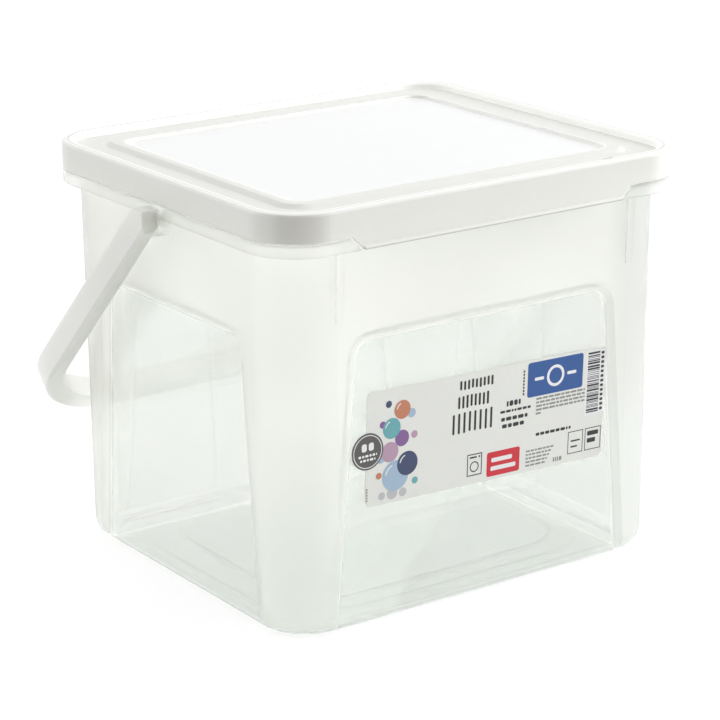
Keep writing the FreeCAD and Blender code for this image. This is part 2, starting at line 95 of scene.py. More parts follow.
# %% [markdown]
# ## Shader maths in plain Python
#
# A material in Blender is a graph of nodes. Adding the nodes by hand hides the formula that they
# make, so a small class stands for one output of a node, and `+`, `-` and `*` on it add the Math
# nodes. `|` takes the larger of two values and `&` the smaller, which joins two masks or keeps
# only what they share. The reflected forms, such as `__rsub__`, make `1 - mask` work too. Every
# other node comes from one method, `node`.

# %% A socket that can be calculated with
class Quantity:
    """One output socket of a node, which plain Python formulas can use."""

    def __init__(self, graph, socket):
        self.graph = graph
        self.socket = socket

    def maths(self, operation, *others):
        """Adds a Math node, which takes this value first."""
        return self.graph.node("ShaderNodeMath", {"operation": operation}, [self, *others])

    def __add__(self, other):
        return self.maths("ADD", other)

    def __sub__(self, other):
        return self.maths("SUBTRACT", other)

    def __mul__(self, other):
        return self.maths("MULTIPLY", other)

    def __rsub__(self, other):
        return self.graph.node("ShaderNodeMath", {"operation": "SUBTRACT"}, [other, self])

    def __abs__(self):
        return self.maths("ABSOLUTE")

    def __or__(self, other):
        return self.maths("MAXIMUM", other)

    def __and__(self, other):
        return self.maths("MINIMUM", other)

    __radd__ = __add__
    __rmul__ = __mul__

    def ramp(self, start, end, low=0.0, high=1.0):
        """Goes smoothly from `low` at `start` to `high` at `end`."""
        values = {"Value": self, "From Min": start, "From Max": end, "To Min": low, "To Max": high}
        return self.graph.node("ShaderNodeMapRange", {"interpolation_type": "SMOOTHSTEP"}, values)

    def under(self, limit, soft):
        """1 where the value is below `limit`, 0 above it, with an edge `soft` wide."""
        return self.ramp(limit - soft / 2, limit + soft / 2, 1.0, 0.0)

    def near_zero(self, reach, soft):
        """1 where the value is within `reach` of zero, 0 beyond, with an edge `soft` wide."""
        return abs(self).under(reach, soft)


class Graph:
    """The nodes of a material or of the world."""

    def __init__(self, owner):
        owner.use_nodes = True
        self.nodes = owner.node_tree.nodes
        self.links = owner.node_tree.links
        self.nodes.clear()

    def node(self, kind, settings=None, values=None, output=0):
        """Adds a node: its settings first, then its sockets' values or links."""
        made = self.nodes.new(kind)
        for setting, value in (settings or {}).items():
            setattr(made, setting, value)
        pairs = values.items() if isinstance(values, dict) else enumerate(values or [])
        for socket, value in pairs:
            if isinstance(value, Quantity):
                self.links.new(value.socket, made.inputs[socket])
            elif value is not None:
                made.inputs[socket].default_value = value
        return Quantity(self, made.outputs[output]) if made.outputs else None

    def outputs(self, kind, *names, values=None):
        """Adds a node and gives several of its outputs."""
        made = self.node(kind, values=values).socket.node
        return [Quantity(self, made.outputs[name]) for name in names]


class Finish(Graph):
    """A material, with the few steps that every finish here needs."""

    def __init__(self, name):
        self.material = bpy.data.materials.new(name)
        super().__init__(self.material)

    def mix(self, share, first, second):
        """Blends two colours, each a tuple or a link."""
        # The node has sockets for every type of value. These are the ones for colours.
        values = {0: share, 6: first, 7: second}
        return self.node("ShaderNodeMix", {"data_type": "RGBA"}, values, 2)

    def place(self):
        """The shaded point on the drawing, in metres."""
        return self.outputs("ShaderNodeTexCoord", "Object")[0]

    def axes(self, where):
        """x, y and z of a point."""
        return self.outputs("ShaderNodeSeparateXYZ", "X", "Y", "Z", values=[where])

    def noise(self, where, scale, detail=2.0, rough=0.5):
        """Soft random mottling, from 0 to 1; a spot is about one metre over `scale` wide."""
        values = {"Vector": where, "Scale": scale, "Detail": detail, "Roughness": rough}
        return self.node("ShaderNodeTexNoise", values=values)

    def bump(self, height, distance, strength=1.0, normal=None):
        """Tilts the shading by a relief `distance` metres high, on top of `normal`."""
        values = {"Strength": strength, "Distance": distance, "Height": height, "Normal": normal}
        return self.node("ShaderNodeBump", values=values)

    def plastic(self, **sockets):
        """The Principled shader; a socket's name is written with _ for a space."""
        values = {name.replace("_", " "): value for name, value in sockets.items()}
        return self.node("ShaderNodeBsdfPrincipled", values=values)

    def wear(self, surface, piece):
        """Ends the graph in `surface` and gives the material to a piece."""
        self.node("ShaderNodeOutputMaterial", values=[surface])
        # A faint glow is no lamp, so no light rays are sent out to look for it.
        self.material.cycles.emission_sampling = "NONE"
        piece.data.materials.clear()
        piece.data.materials.append(self.material)
        print(self.material.name, "has", len(self.nodes), "nodes")


# %% [markdown]
# ## Where a finish changes
#
# Two finishes can meet along a line that nothing in the solid marks, such as the edge between a
# polished and a frosted part of one wall. The distance to that line, worked out from `x`, `y` and
# `z`, makes a sharp mask at any size. A rounded box is the outline that every moulding here uses.

# %% Distance to a rounded box
def outside_rounded_box(sideways, upwards, radius):
    """Distance outside a rounded corner, from how far a point lies beyond its two sides."""
    across, over = sideways + radius, upwards + radius
    beyond = (across | 0.0) * (across | 0.0) + (over | 0.0) * (over | 0.0)
    return beyond.maths("SQRT") + ((across | over) & 0.0) - radius


# %% [markdown]
# ## The tub's see-through plastic
#
# The real tub is natural polypropylene about 2 mm thick. Its corner posts and the band under the
# rim are textured in the mould and look milky; its four windows and its floor are polished and
# nearly clear, with a faint green-grey tint. Glass shaders could make it, but a wall is seen
# through as four or more surfaces, and the picture would be dark and grainy. So two plastics are
# mixed by a mask, and each lets a share of the light straight through by its alpha.
#
# The floor is thicker in its middle. Along the back and right walls the floor is painted lighter
# and more see-through, and the rest of it darker and greener, as painted light and shade for the
# light that comes in from behind. A painted highlight line runs where they meet, beside the edge
# of the thick part. Thin ridges, a little less clear than the rest, mark the edge of the thick
# part and the place where the base's rounding starts.

# %% Places on the tub
WINDOW_TOP = 122.2 * MM                 # upper edge of the clear windows
WINDOW_LEAN = 10.0 * MM / WINDOW_TOP    # each side moves 10 mm out from there to the base
WINDOW_CORNER = 7.0 * MM                # radius of a window's upper corners
FRONT_WINDOW_TOP = 64.1 * MM            # half width of the front and back windows, at their top
SIDE_WINDOW_TOP = 51.75 * MM            # half width of the side windows, at their top
FLOOR_TOP = 2.2 * MM                    # thickness of the tub's floor
FLOOR_STEP = (71.1 * MM, 58.7 * MM)     # half length and half depth of the step in the floor
FLOOR_STEP_CORNER = 24.0 * MM           # radius of that step's corners
FLOOR_FLAT = (88.8 * MM, 76.4 * MM)     # half sizes of the floor, inside the base's rounding
FLOOR_FLAT_CORNER = 16.0 * MM           # and the radius of its corners
BACK_STRIP = 61.5 * MM                  # where the painted lighter strip along the back wall begins
RIGHT_STRIP = 78.0 * MM                 # and the one along the right wall
FLANGE_BOTTOM = 162.3 * MM              # lower edge of the downturned flange
print("a window reaches", round(WINDOW_TOP, 4), "m up; the floor is", FLOOR_TOP, "m thick")

# %% Where the tub is clear
def window_distance(x, y, z):
    """Distance outside the outline of the nearest of the four windows."""
    widening = (WINDOW_TOP - z) * WINDOW_LEAN
    over = z - WINDOW_TOP
    front = outside_rounded_box(abs(x) - widening - FRONT_WINDOW_TOP, over, WINDOW_CORNER)
    side = outside_rounded_box(abs(y) - widening - SIDE_WINDOW_TOP, over, WINDOW_CORNER)
    return front & side


# %% Parts of the floor
def floor_parts(x, y, floor):
    """Masks of the floor's painted shade, of the painted highlight line at its edge, and of the
    ridges.
    """
    # Painted light and shade: the strips along the back and right walls are lit, the rest is
    # shaded.
    strip = (x - RIGHT_STRIP) | (y - BACK_STRIP)
    middle = floor * strip.under(0.0, 0.8 * MM)
    painted_highlight_line = floor * strip.near_zero(0.9 * MM, 0.6 * MM)
    ridges = []
    for half, corner in ((FLOOR_STEP, FLOOR_STEP_CORNER), (FLOOR_FLAT, FLOOR_FLAT_CORNER)):
        beyond = outside_rounded_box(abs(x) - half[0], abs(y) - half[1], corner)
        ridges.append(beyond.near_zero(0.7 * MM, 0.5 * MM))
    return middle, painted_highlight_line, floor * (ridges[0] | ridges[1])


# %% [markdown]
# Light that enters thin plastic scatters inside it and comes out somewhere else. That takes too
# long to work out, so the frosted plastic gives off a very faint glow where the real tub is
# brightest: near its base, under its rim, and beside the handle's pivot. Thin bright lines glow a
# The painted highlight lines, on the floor and along the windows' tops, glow a little more.

# %% Glow of the frosted plastic
NO_GLOW = (0, 0, 0, 1)
FAINT_GLOW = (0.031, 0.036, 0.034, 1)
LINE_GLOW = (0.22, 0.22, 0.21, 1)


def tub_glow(finish, x, y, z, lines):
    """Colour of the glow from place to place."""
    near_base = z.ramp(85.0 * MM, 45.0 * MM) * 0.8
    under_rim = z.ramp(146.0 * MM, 160.0 * MM) * 0.6
    by_pivot = x.ramp(-80.0 * MM, -90.0 * MM) * abs(y).ramp(42.0 * MM, 10.0 * MM)
    upper_half = z.ramp(110.0 * MM, 150.0 * MM) * (0.1 + by_pivot)
    glow = finish.mix(near_base | under_rim | upper_half, NO_GLOW, FAINT_GLOW)
    return finish.mix(lines, glow, LINE_GLOW)


# %% Make the tub's plastic
def make_tub_finish():
    finish = Finish("tub_see_through_plastic")
    where = finish.place()
    x, y, z = finish.axes(where)
    edge = window_distance(x, y, z)
    floor = z.under(FLOOR_TOP + 0.6 * MM, 0.6 * MM)
    polished = edge.under(0.2 * MM, 0.6 * MM) | floor
    above_base = z.ramp(3.0 * MM, 5.0 * MM)
    outline = (edge - 0.2 * MM).near_zero(0.5 * MM, 0.6 * MM) * above_base
    rim = z.ramp(FLANGE_BOTTOM - 0.3 * MM, FLANGE_BOTTOM)
    middle, painted_floor_highlight, ridges = floor_parts(x, y, floor)
    # Painted light: the floor's strips along the back and right walls are more see-through.
    painted_lit_strips = floor * (1 - middle)

    mottle = finish.noise(where, 45.0, 3.0)
    flow = finish.noise(where, 14.0, 4.0, 0.6)
    grain = finish.noise(where, 2600.0, 2.0)

    # Painted shade makes the frosted plastic a little greyer at the tub's right end.
    painted_shade_right_end = x.ramp(60.0 * MM, 75.0 * MM)
    milk = finish.mix(mottle, (0.965, 0.97, 0.935, 1), (0.99, 0.99, 0.96, 1))
    milk = finish.mix(painted_shade_right_end, milk, (0.89, 0.90, 0.875, 1))
    # Painted highlight: a line along the windows' tops, which glows.
    window_top_highlight = outline * z.ramp(114.0 * MM, 118.0 * MM) * 0.5
    glow = tub_glow(finish, x, y, z, painted_floor_highlight | window_top_highlight)
    milky = finish.plastic(
        Base_Color=milk, Roughness=0.44 + grain * 0.08, Normal=finish.bump(grain, 0.06 * MM),
        IOR=1.18, Transmission_Weight=0.78, Alpha=0.80 - rim * 0.22,
        Emission_Color=glow, Emission_Strength=1.0,
    )

    # The clear plastic gets painted shade in the upper left of the front window and on the floor
    # outside its lighter strips, where it is also greener, and a painted, whiter line along the
    # windows' outlines, in place of the light that their edges bend.
    painted_shade_upper_left = (y.ramp(-70.0 * MM, -76.0 * MM) * x.ramp(30.0 * MM, 0.0)
                  * z.ramp(60.0 * MM, 85.0 * MM))
    glass = finish.mix(mottle, (0.915, 0.955, 0.905, 1), (0.95, 0.975, 0.935, 1))
    glass = finish.mix(painted_shade_upper_left, glass, (0.80, 0.845, 0.80, 1))
    glass = finish.mix(middle, glass, (0.865, 0.935, 0.865, 1))
    glass = finish.mix(outline, glass, (0.90, 0.92, 0.89, 1))
    waves = finish.bump(flow * (1 - floor), 0.3 * MM, 0.5)
    clear = finish.plastic(
        Base_Color=glass, Roughness=0.04 + mottle * 0.03, Normal=waves, IOR=1.49,
        Transmission_Weight=0.85, Alpha=0.55 + outline * 0.15 + middle * 0.1 - painted_lit_strips * 0.15,
    )

    # The painted highlight line on the floor and the windows' painted outlines are partly frosted,
    # so they look paler.
    clearness = polished * (1 - painted_floor_highlight * 0.8) * (1 - outline * 0.5) * (1 - ridges * 0.6)
    surface = finish.node("ShaderNodeMixShader", values=[clearness, milky, clear])
    finish.wear(surface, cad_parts["tub"])


make_tub_finish()

# %% [markdown]
# ## The white plastic of the lid and the handle
#
# White polypropylene is dense enough to hide what is behind it, yet light sinks a little way in,
# which softens its edges. The lid's panel is polished in the mould and the rest has a fine satin
# texture and a few hair scratches, so roughness follows the panel's outline. Faint flow marks run
# through all of it. Paler painted highlights lie on the inner wall of the lid's bead, its crest,
# the frame's flank and the panel's edge, where light gathers, and the bead's wall and the panel's
# edge glow a little. Painted shade darkens the skirt's near corner, the moulding pit and a thin
# line under the tab.

# %% Places on the lid
SIDE_HALF = 92.65 * MM                  # half the lid's depth, without the lip of its tab
LID_CORNER = 23.2 * MM                  # radius of the lid's corners
LID_CREST = 1.5 * MM                    # from the lid's outline to the end of its skirt
BEAD_WALL = 4.4 * MM                    # to the inner wall of the bead
LID_FRAME = 18.2 * MM                   # to the middle of the frame's sloping flank
LID_PANEL = 24.1 * MM                   # and to the sunken panel
PANEL_CORNER = 8.0 * MM                 # radius of the panel's corners
GROOVE_TOP = 177.2 * MM                 # the lid's groove, which its moulding pit is sunk in
PIT_X = 69.0 * MM                       # middle of that pit
PIT_HALF = 2.7 * MM                     # and half its length
PIT_END = 16.0 * MM                     # from the lid's outline to the pit's inner end
TAB_BOTTOM = 162.6 * MM                 # lower edge of the lid's pull tab

lid_low, lid_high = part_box("lid")
print("lid, metres:", [round(v, 4) for v in lid_high - lid_low])

# %% Scratches
def scratches(finish, where, scale, turn):
    """Thin, broken hair scratches that run one way."""
    turned = finish.node("ShaderNodeMapping", values={
        "Vector": where, "Rotation": (0, 0, turn), "Scale": (scale, scale * 0.03, scale * 0.5)})
    lines = finish.noise(turned, 6.0, 3.0, 0.7)
    return lines.ramp(0.66, 0.72)


# %% The lid's moulding pit
def pit_shade_mask(x, y, z, edge, top):
    """The small pit that the mould leaves in the groove of the lid's front half, painted with
    shade.
    """
    along = (x - PIT_X).near_zero(PIT_HALF, 0.2 * MM) * y.under(0.0, MM) * top
    in_groove = z.under(GROOVE_TOP - 0.1 * MM, 0.1 * MM)
    return along * in_groove * edge.ramp(-PIT_END, 0.1 * MM - PIT_END)


# %% Make the lid's plastic
# A paler colour for painted highlights on the lid.
PAINTED_EDGE_HIGHLIGHT = (0.97, 0.975, 0.945, 1)


def make_lid_finish():
    finish = Finish("lid_white_plastic")
    where = finish.place()
    x, y, z = finish.axes(where)
    beyond_x = abs(x) - (lid_high.x - lid_low.x) / 2
    beyond_y = abs(y) - SIDE_HALF
    edge = outside_rounded_box(beyond_x, beyond_y, LID_CORNER)
    panel_edge = outside_rounded_box(beyond_x + LID_PANEL, beyond_y + LID_PANEL, PANEL_CORNER)
    panel = panel_edge.under(0.2 * MM, 0.5 * MM)
    top = edge.under(-LID_CREST, 0.8 * MM)
    on_bead = z.ramp(178.6 * MM, 179.2 * MM)
    crest_highlight = (edge + 1.2 * MM).near_zero(0.9 * MM, 0.6 * MM) & on_bead
    bead_wall_highlight = (edge + BEAD_WALL).near_zero(0.9 * MM, 0.4 * MM)
    flank_highlight = (edge + LID_FRAME).near_zero(1.7 * MM, 0.8 * MM)
    step = (panel_edge + 0.2 * MM).near_zero(0.6 * MM, 0.4 * MM)
    corner_shade = x.ramp(-79.0 * MM, -86.0 * MM) * y.ramp(-80.0 * MM, -86.0 * MM)
    shade_under_tab = z.under(TAB_BOTTOM + 0.5 * MM, 0.4 * MM)
    pit_shade = pit_shade_mask(x, y, z, edge, top)

    mottle = finish.noise(where, 30.0, 3.0)
    grain = finish.noise(where, 2200.0, 2.0)
    flow = finish.noise(where, 9.0, 3.0)
    marks = scratches(finish, where, 90.0, 0.6)

    skirt = finish.mix(mottle, (0.82, 0.822, 0.775, 1), (0.85, 0.852, 0.805, 1))
    # Painted shade: the skirt is darker at its near front left corner.
    skirt = finish.mix(corner_shade, skirt, (0.76, 0.752, 0.71, 1))
    satin = finish.mix(mottle, (0.735, 0.742, 0.705, 1), (0.755, 0.762, 0.725, 1))
    # Painted highlights: the bead's inner wall and, faintly, the frame's flank.
    satin = finish.mix(bead_wall_highlight | flank_highlight * 0.15, satin, PAINTED_EDGE_HIGHLIGHT)
    bright = finish.mix(mottle, (0.835, 0.84, 0.845, 1), (0.855, 0.86, 0.865, 1))
    white = finish.mix(panel, finish.mix(top, skirt, satin), bright)
    # Painted highlights: the bead's crest and the panel's edge.
    white = finish.mix(crest_highlight | step, white, PAINTED_EDGE_HIGHLIGHT)
    # Painted shade: the moulding pit and a thin line under the tab's lip are dark.
    colour = finish.mix(pit_shade | shade_under_tab, white, (0.50, 0.50, 0.48, 1))
    glow = finish.mix(bead_wall_highlight | step * 0.35, NO_GLOW, (0.21, 0.21, 0.20, 1))

    textured = 1 - panel
    roughness = 0.36 + grain * textured * 0.08 - panel * 0.12 + marks * textured * 0.10
    texture = finish.bump(grain * textured, 0.04 * MM)
    waves = finish.bump(flow, 1.2 * MM, 0.35, texture)
    surface = finish.plastic(
        Base_Color=colour, Roughness=roughness, Normal=waves, IOR=1.49,
        Subsurface_Weight=0.3, Subsurface_Radius=(5.0 * MM, 5.0 * MM, 4.6 * MM),
        Subsurface_Scale=1.0,
        Emission_Color=glow, Emission_Strength=1.0,
    )
    finish.wear(surface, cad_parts["lid"])


make_lid_finish()

# %% [markdown]
# The handle is moulded from the same white, with a satin texture all over. Hands polish its grip,
# so the grip, which hangs lowest, is a little smoother than the arms. Its inner side, which faces
# the tub, glows a little in place of the light that the tub's plastic passes on to it.

# %% Make the handle's plastic
handle_low, handle_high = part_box("handle")
GRIP_MIDDLE = handle_high.y - 5.0 * MM     # from front to back
print("handle, metres:", [round(v, 4) for v in handle_high - handle_low])


def make_handle_finish():
    finish = Finish("handle_white_plastic")
    where = finish.place()
    x, y, z = finish.axes(where)
    mottle = finish.noise(where, 36.0, 3.0)
    grain = finish.noise(where, 2200.0, 2.0)
    worn = z.ramp(75.0 * MM, 45.0 * MM) * finish.noise(where, 120.0, 2.0)
    arm = finish.mix(mottle, (0.835, 0.845, 0.79, 1), (0.865, 0.875, 0.82, 1))
    # Painted light: the handle is lighter towards its grip, where light from behind shines through
    # the white plastic.
    colour = finish.mix(z.ramp(140.0 * MM, 80.0 * MM), arm, (0.955, 0.96, 0.905, 1))
    inner_side = abs(x).ramp(97.0 * MM, 86.0 * MM) * y.ramp(GRIP_MIDDLE + 2.0 * MM, GRIP_MIDDLE)
    glow = finish.mix(inner_side, NO_GLOW, (0.15, 0.15, 0.14, 1))
    roughness = 0.42 + grain * 0.08 - worn * 0.16
    texture = finish.bump(grain, 0.04 * MM)
    waves = finish.bump(mottle, 0.8 * MM, 0.3, texture)
    surface = finish.plastic(
        Base_Color=colour, Roughness=roughness, Normal=waves, IOR=1.49,
        Subsurface_Weight=0.5, Subsurface_Radius=(6.0 * MM, 6.0 * MM, 5.6 * MM),
        Subsurface_Scale=1.0,
        Emission_Color=glow, Emission_Strength=1.0,
    )
    finish.wear(surface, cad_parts["handle"])


make_handle_finish()

# %% [markdown]
# ## The label's film
#
# The label is a printed plastic film, silvery light grey with a silky varnish. A pale, slightly
# uneven ground and a long, soft waviness of the varnish keep it from looking like a cut-out.

# %% Make the film
def make_film_finish():
    finish = Finish("label_silk_film")
    where = finish.place()
    fibre = finish.noise(where, 900.0, 3.0)
    cloud = finish.noise(where, 60.0, 2.0)
    colour = finish.mix(cloud, (0.75, 0.76, 0.72, 1), (0.79, 0.80, 0.76, 1))
    speckled = finish.mix(fibre.ramp(0.35, 0.65, 0.0, 0.25), colour, (0.83, 0.835, 0.80, 1))
    varnish = finish.bump(cloud, 0.4 * MM, 0.25)
    surface = finish.plastic(Base_Color=speckled, Roughness=0.34 + fibre * 0.1, Normal=varnish)
    finish.wear(surface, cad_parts["front_label"])


make_film_finish()

# %% [markdown]
# The round sticker is a film of its own, nearly black, with a duller varnish. It could share the
# label's material and be darkened by a mask, but two short finishes are easier to read.

# %% Make the sticker's film
def make_sticker_finish():
    finish = Finish("sticker_dark_film")
    where = finish.place()
    fibre = finish.noise(where, 1100.0, 3.0)
    colour = finish.mix(fibre, (0.085, 0.082, 0.080, 1), (0.105, 0.10, 0.098, 1))
    varnish = finish.bump(fibre, 0.03 * MM, 0.4)
    surface = finish.plastic(Base_Color=colour, Roughness=0.38 + fibre * 0.1, Normal=varnish)
    finish.wear(surface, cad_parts["round_sticker"])


make_sticker_finish()

# %% [markdown]
# ## Printing the label
#
# Ink could be painted by the film's material, but its edges would blur when the finish is stored
# as a picture. Here each ink is a sheet of flat shapes that lies a few hundredths of a millimetre
# above the film, so its edges stay sharp at any size. First the film's own axes are found: `u`
# runs along its long edge, `v` up it, and both start at its middle.

# %% Find the axes of a stuck-on film
def film_axes(node, level=False):
    """Middle of a film's front face, and its directions along, up and out."""
    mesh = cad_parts[node].data
    fronts = [face for face in mesh.polygons if face.normal.y < -0.99]     # they look forward
    out = sum((face.normal * face.area for face in fronts), Vector()).normalized()
    uses = Counter(edge for face in fronts for edge in face.edge_keys)
    rim = [edge for edge, count in uses.items() if count == 1]     # an inner edge has two faces
    points = [mesh.vertices[i].co for edge in rim for i in edge]
    if level:     # a round film has no long edge to follow
        along = out.cross(Vector((0, 0, 1))).normalized()
    else:
        ends = [(mesh.vertices[i].co, mesh.vertices[j].co) for i, j in rim]
        first, second = max(ends, key=lambda pair: (pair[0] - pair[1]).length)
        along = (second - first).normalized()
    if along.x < 0:
        along = -along
    up = out.cross(along).normalized()
    middle = out * points[0].dot(out)
    for axis in (along, up):
        reach = [point.dot(axis) for point in points]
        middle += axis * (min(reach) + max(reach)) / 2
    return middle, along, up, out


label_axes = film_axes("front_label")
sticker_axes = film_axes("round_sticker", level=True)
print("label's middle:", [round(v, 4) for v in label_axes[0]])
print("sticker's middle:", [round(v, 4) for v in sticker_axes[0]])

# %% [markdown]
# Five helpers draw every printed shape from a few numbers in millimetres: a rounded box, a disc,
# a ring, a thin frame, and a run of dashes that stands for a line of small print. `u0`, `u1`,
# `v0` and `v1` are a shape's left, right, lower and upper limits on the film.

# %% Shapes to print with
CORNER_STEPS = 4
SHARP = 0.01     # radius of a corner that looks sharp


def rounded_box(u0, u1, v0, v1, radius):
    """Outline of a box with round corners."""
    radius = min(radius, (u1 - u0) / 2, (v1 - v0) / 2)
    outline = []
    corners = [(u1 - radius, v1 - radius, 0), (u0 + radius, v1 - radius, 90),
               (u0 + radius, v0 + radius, 180), (u1 - radius, v0 + radius, 270)]
    for cu, cv, start in corners:
        for step in range(CORNER_STEPS + 1):
            angle = math.radians(start + step * 90 / CORNER_STEPS)
            outline.append((cu + radius * math.cos(angle), cv + radius * math.sin(angle)))
    return [outline]


def disc(cu, cv, radius, sides=40):
    """Outline of a disc."""
    turn = [2 * math.pi * i / sides for i in range(sides)]
    return [[(cu + radius * math.cos(a), cv + radius * math.sin(a)) for a in turn]]


def ring(cu, cv, radius, width, start=0, end=360, sides=48):
    """Part of a ring, as a strip of small four-sided shapes."""
    inner, outer = radius - width / 2, radius + width / 2
    strip = []
    for i in range(sides):
        a0 = math.radians(start + (end - start) * i / sides)
        a1 = math.radians(start + (end - start) * (i + 1) / sides)
        strip.append([(cu + r * math.cos(a), cv + r * math.sin(a))
                      for r, a in ((inner, a0), (outer, a0), (outer, a1), (inner, a1))])
    return strip


def frame_box(u0, u1, v0, v1, width):
    """The four sides of a thin frame."""
    sides = [(u0, u1, v0, v0 + width), (u0, u1, v1 - width, v1),
             (u0, u0 + width, v0 + width, v1 - width), (u1 - width, u1, v0 + width, v1 - width)]
    return [shape for side in sides for shape in rounded_box(*side, SHARP)]


# %% A line of dashes
SHORTEST = 0.35        # shortest dash, as a share of the longest
ROUNDING = 0.3         # radius of a dash's corners, as a share of its height
LEAST_ROOM = 0.4       # a line ends where less room than this is left


def small_print(u0, u1, v0, v1, seed, longest, gap):
    """A line of dashes of uneven length, in place of small lettering."""
    chance = random.Random(seed)
    dashes = []
    u = u0
    while u < u1 - LEAST_ROOM:
        length = min(chance.uniform(SHORTEST, 1.0) * longest, u1 - u)
        dashes += rounded_box(u, u + length, v0, v1, (v1 - v0) * ROUNDING)
        u += length + gap
    return dashes


# %% [markdown]
# `print_ink` turns a list of outlines into one mesh on the film. Each later layer is lifted a
# little more, so that a shape printed over another one never fights with it for the same place.

# %% Print one ink
INK_LIFT = 0.03 * MM      # from the film to the first layer of ink
INK_LAYER = 0.01 * MM     # and from each layer to the next


def print_ink(name, shapes, axes, ink, layer=0):
    """One flat mesh of shapes on a film, riding on the tub."""
    middle, along, up, out = axes
    lift = INK_LIFT + layer * INK_LAYER
    mesh = bmesh.new()
    for outline in shapes:
        mesh.faces.new([mesh.verts.new(middle + (along * u + up * v) * MM + out * lift)
                        for u, v in outline])
    bmesh.ops.recalc_face_normals(mesh, faces=mesh.faces)
    for face in mesh.faces:
        if face.normal.dot(out) < 0:
            face.normal_flip()
    data = bpy.data.meshes.new(name)
    mesh.to_mesh(data)
    mesh.free()
    piece = bpy.data.objects.new(name, data)
    bpy.context.scene.collection.objects.link(piece)
    data.materials.append(ink)
    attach(piece, "tub")
    print(name, "has", len(shapes), "shapes")


def print_label(name, shapes, ink, layer=0):
    """The same, for the label."""
    print_ink(name, shapes, label_axes, ink, layer)


# %% Mix the inks
def make_ink(name, colour):
    """Printing ink: a flat colour with the faint mottle of a printed film."""
    finish = Finish(name)
    where = finish.place()
    speckle = finish.noise(where, 1400.0, 3.0)
    cloud = finish.noise(where, 220.0, 2.0)
    darker = [channel * 0.86 for channel in colour]
    tone = finish.mix(speckle * 0.5 + cloud * 0.5, (*darker, 1), (*colour, 1))
    varnish = finish.bump(cloud, 0.08 * MM, 0.3)
    surface = finish.plastic(Base_Color=tone, Roughness=0.34 + speckle * 0.12, Normal=varnish)
    finish.node("ShaderNodeOutputMaterial", values=[surface])
    return finish.material


BLACK = make_ink("ink_black", (0.022, 0.021, 0.024))
GREY = make_ink("ink_grey", (0.30, 0.30, 0.305))
PALE = make_ink("ink_white", (0.88, 0.88, 0.885))
BLUE = make_ink("ink_blue", (0.018, 0.095, 0.33))
RED = make_ink("ink_red", (0.66, 0.018, 0.035))
CORAL = make_ink("ink_coral", (0.58, 0.22, 0.12))
TEAL = make_ink("ink_teal", (0.14, 0.42, 0.46))
VIOLET = make_ink("ink_violet", (0.24, 0.12, 0.33))
MAUVE = make_ink("ink_mauve", (0.50, 0.33, 0.45))
NAVY = make_ink("ink_navy", (0.045, 0.065, 0.15))
SKY = make_ink("ink_sky", (0.38, 0.52, 0.66))
MIST = make_ink("ink_mist", (0.55, 0.555, 0.57))

# %% [markdown]
# The print keeps the label's plan, not its words: a heading, a few lines of text, a coloured
# field on the right, a smaller one below, a striped code and three thin-lined icons. Lettering
# becomes plain strokes and dashes of the same weight, so the film looks printed and says nothing.

# %% Heading
STROKE = 1.1      # thickness of a brush stroke
UNEVEN = 0.5      # how far its ends may fall short


def heading_line(u0, u1, v0, v1, strokes):
    """A line of a heading, as upright brush strokes of uneven height."""
    pitch = (u1 - u0) / strokes
    chance = random.Random(strokes)
    shapes = []
    for i in range(strokes):
        middle = u0 + (i + 0.5) * pitch
        low = v0 + chance.uniform(0.0, UNEVEN)
        high = v1 - chance.uniform(0.0, UNEVEN)
        shapes += rounded_box(middle - STROKE / 2, middle + STROKE / 2, low, high, 0.5)
    return shapes


heading = (heading_line(-16.0, 2.3, 17.4, 21.8, 9) + heading_line(-16.8, 0.3, 9.5, 15.3, 8)
           + heading_line(-19.7, 2.7, -1.3, 8.0, 8))
print_label("print_heading", heading, BLACK)

# %% Lines of text
# A line's four limits are followed by its seed, its longest dash and the gap between dashes.
text = small_print(9.4, 16.9, 6.4, 8.8, 1, 2.2, 0.5)
text += small_print(6.1, 22.3, 3.8, 4.9, 2, 2.6, 0.5)
text += small_print(6.7, 20.8, 0.2, 1.8, 3, 4.0, 0.6)
text += small_print(7.3, 19.8, -2.9, -1.2, 4, 5.0, 0.6)
text += small_print(25.7, 44.8, -9.4, -8.1, 5, 2.6, 0.5)
for dash in range(8):
    v = dash * 1.42
    text += rounded_box(17.8, 18.6, 9.9 + v, 10.9 + v, 0.2)
print_label("print_text", text, BLACK)

# %% Finer lines
fine = []
for line in range(5):
    u1 = 51.9 if line < 4 else 28.4
    v = line * 1.62
    fine += small_print(25.2, u1, 6.6 - v, 7.5 - v, 20 + line, 3.4, 0.4)
for line in range(5):
    u1 = 35.7 - line * 1.1
    v = line * 1.6
    fine += small_print(20.7, u1, -15.9 - v, -15.1 - v, 30 + line, 3.2, 0.4)
fine += small_print(35.7, 41.0, -22.8, -20.8, 41, 1.4, 0.4)
for v in (-22, -20.8, -19.6, -18.4, -17.2):
    fine.append([(-62.2, v), (-61.3, v), (-61.3, v + 0.8), (-62.2, v + 0.8)])
print_label("print_fine_text", fine, GREY)

# %% Coloured fields
print_label("print_blue_field", rounded_box(20.2, 50.3, 8.3, 23.5, 1.2), BLUE)
marks = ring(35.3, 15.9, 4.1, 1.3) + rounded_box(24.0, 29.0, 15.2, 16.6, 0.5)
marks += rounded_box(41.6, 46.6, 15.2, 16.6, 0.5)
print_label("print_blue_field_marks", marks, PALE, 1)

print_label("print_red_field", rounded_box(-0.2, 17.3, -23.0, -12.3, 1.0), RED)
bars = rounded_box(2.2, 13.2, -16.9, -15.0, 0.6) + rounded_box(1.9, 15.2, -20.6, -18.7, 0.6)
print_label("print_red_field_marks", bars, PALE, 1)

